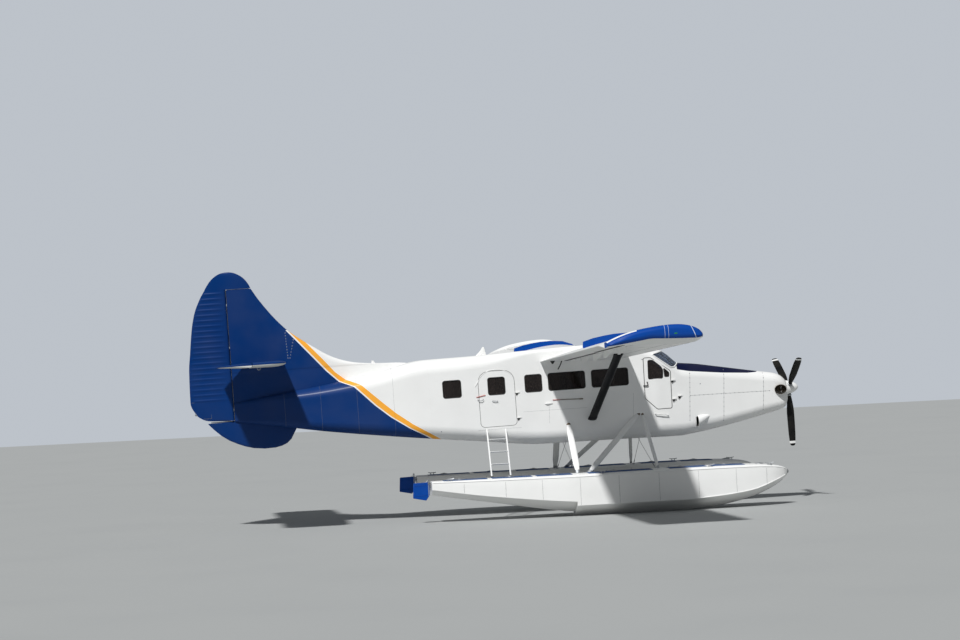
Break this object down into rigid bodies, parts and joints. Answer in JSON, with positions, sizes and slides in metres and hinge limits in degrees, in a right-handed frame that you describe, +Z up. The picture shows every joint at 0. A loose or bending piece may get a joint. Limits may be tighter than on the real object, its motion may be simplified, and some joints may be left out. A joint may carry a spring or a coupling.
{
  "type": "floatplane",
  "caption": "High-wing utility floatplane with a turbine nose, twin floats on braced struts, strut-braced wings with flaps, and hinged cockpit, cabin and cargo doors.",
  "frame": {"origin": "middle of the bounding box in plan, at the height of the keels' undersides", "axes": "+X towards the nose, +Y towards the port wing tip, +Z up, standing on its two float keels"},
  "size_m": [13.8453, 17.68, 5.7326],
  "materials": {
    "white_paint": "gloss",
    "tail_blue_paint": "gloss",
    "bright_blue_paint": "gloss",
    "navy_paint": "satin",
    "propeller_black": "satin",
    "window_glass": "clear, lightly tinted",
    "exhaust_steel": "heat-stained",
    "engine_metal": "plain",
    "seat_fabric": "woven",
    "panel_black": "matt"
  },
  "bodies": {
    "airframe": {"cabin_shell": "white_paint", "cowl": "white_paint", "nose_bowl": "white_paint", "wing_left": "white_paint", "wing_right": "white_paint", "float_left": "white_paint", "float_right": "white_paint", "float_strut_front_left": "white_paint", "float_strut_rear_left": "white_paint", "float_strut_front_right": "white_paint", "float_strut_rear_right": "white_paint", "spreader_front": "white_paint", "spreader_rear": "white_paint", "boarding_ladder": "white_paint", "tail_cone": "white_paint", "window_rear_right": "window_glass", "window_rear_left": "window_glass", "window_strip_right": "window_glass", "window_strip_left": "window_glass", "windshield": "window_glass", "stabilizer": "tail_blue_paint", "fin": "tail_blue_paint", "ventral_fin": "tail_blue_paint", "wing_tip_left": "bright_blue_paint", "wing_tip_right": "bright_blue_paint", "wing_strut_left": "navy_paint", "wing_strut_right": "navy_paint", "cabin_seats_right": "seat_fabric", "pilot_seat_right": "seat_fabric", "cabin_seats_left": "seat_fabric", "pilot_seat_left": "seat_fabric", "instrument_panel": "panel_black", "cabin_floor": "panel_black", "engine": "engine_metal", "exhaust_right": "exhaust_steel", "exhaust_left": "exhaust_steel"},
    "propeller": {"propeller": "propeller_black", "spinner": "white_paint"},
    "rudder": {"rudder": "tail_blue_paint"},
    "elevator": {"elevator": "tail_blue_paint"},
    "flap_left": {"flap_left": "white_paint"},
    "flap_right": {"flap_right": "white_paint"},
    "aileron_left": {"aileron_left": "white_paint"},
    "aileron_right": {"aileron_right": "white_paint"},
    "cockpit_door_left": {"cockpit_door_left": "white_paint", "cockpit_window_left": "window_glass"},
    "cockpit_door_right": {"cockpit_door_right": "white_paint", "cockpit_window_right": "window_glass"},
    "cabin_door": {"cabin_door": "white_paint", "cabin_door_window": "window_glass"},
    "cargo_door_rear": {"cargo_door_rear": "white_paint", "cargo_window_rear": "window_glass"},
    "cargo_door_front": {"cargo_door_front": "white_paint", "cargo_window_front": "window_glass"},
    "water_rudder_left": {"water_rudder_left": "bright_blue_paint"},
    "water_rudder_right": {"water_rudder_right": "bright_blue_paint"}
  },
  "joints": [
    {"name": "propeller_spin", "type": "hinge", "parent": "airframe", "child": "propeller", "pos_m": [6.73572, 0, 2.55878], "axis": [0.9997, 0, 0.0262], "continuous": true},
    {"name": "rudder_swing", "type": "hinge", "parent": "airframe", "child": "rudder", "pos_m": [-6.02028, 0, 3.84331], "axis": [-0.0262, 0, 0.9997], "range_deg": [-25, 25]},
    {"name": "elevator_swing", "type": "hinge", "parent": "airframe", "child": "elevator", "pos_m": [-5.62339, 0, 3.62362], "axis": [0, 1, 0], "range_deg": [-20, 27]},
    {"name": "aileron_left_swing", "type": "hinge", "parent": "airframe", "child": "aileron_left", "pos_m": [1.32262, 6.8, 3.66291], "axis": [-0.0008, 0.9995, 0.0314], "range_deg": [-20, 20]},
    {"name": "aileron_right_swing", "type": "hinge", "parent": "airframe", "child": "aileron_right", "pos_m": [1.32262, -6.8, 3.66291], "axis": [0.0008, 0.9995, -0.0314], "range_deg": [-20, 20]},
    {"name": "flap_left_swing", "type": "hinge", "parent": "airframe", "child": "flap_left", "pos_m": [1.38498, 3, 3.55042], "axis": [-0.0008, 0.9995, 0.0314], "range_deg": [-40, 0]},
    {"name": "flap_right_swing", "type": "hinge", "parent": "airframe", "child": "flap_right", "pos_m": [1.38498, -3, 3.55042], "axis": [0.0008, 0.9995, -0.0314], "range_deg": [-40, 0]},
    {"name": "cockpit_door_left_swing", "type": "hinge", "parent": "airframe", "child": "cockpit_door_left", "pos_m": [3.8563, 0.744, 2.65144], "axis": [-0.0262, 0, 0.9997], "range_deg": [-75, 0]},
    {"name": "cockpit_door_right_swing", "type": "hinge", "parent": "airframe", "child": "cockpit_door_right", "pos_m": [3.8563, -0.744, 2.65144], "axis": [-0.0262, 0, 0.9997], "range_deg": [0, 75]},
    {"name": "cabin_door_swing", "type": "hinge", "parent": "airframe", "child": "cabin_door", "pos_m": [0.30116, -0.812, 2.64838], "axis": [-0.0262, 0, 0.9997], "range_deg": [0, 90]},
    {"name": "cargo_door_rear_swing", "type": "hinge", "parent": "airframe", "child": "cargo_door_rear", "pos_m": [-0.52055, 0.812, 2.62686], "axis": [-0.0262, 0, 0.9997], "range_deg": [0, 90]},
    {"name": "cargo_door_front_swing", "type": "hinge", "parent": "airframe", "child": "cargo_door_front", "pos_m": [0.97094, 0.812, 2.66591], "axis": [-0.0262, 0, 0.9997], "range_deg": [-90, 0]},
    {"name": "water_rudder_left_swing", "type": "hinge", "parent": "airframe", "child": "water_rudder_left", "pos_m": [-1.825, 1.65, 0.7], "axis": [0, 0, 1], "range_deg": [-30, 30]},
    {"name": "water_rudder_right_swing", "type": "hinge", "parent": "airframe", "child": "water_rudder_right", "pos_m": [-1.825, -1.65, 0.7], "axis": [0, 0, 1], "range_deg": [-30, 30]}
  ],
  "couplings": [
    {"joint": "aileron_right_swing", "follows": "aileron_left_swing", "ratio": -1},
    {"joint": "flap_right_swing", "follows": "flap_left_swing", "ratio": 1},
    {"joint": "water_rudder_left_swing", "follows": "rudder_swing", "ratio": 1},
    {"joint": "water_rudder_right_swing", "follows": "rudder_swing", "ratio": 1}
  ]
}
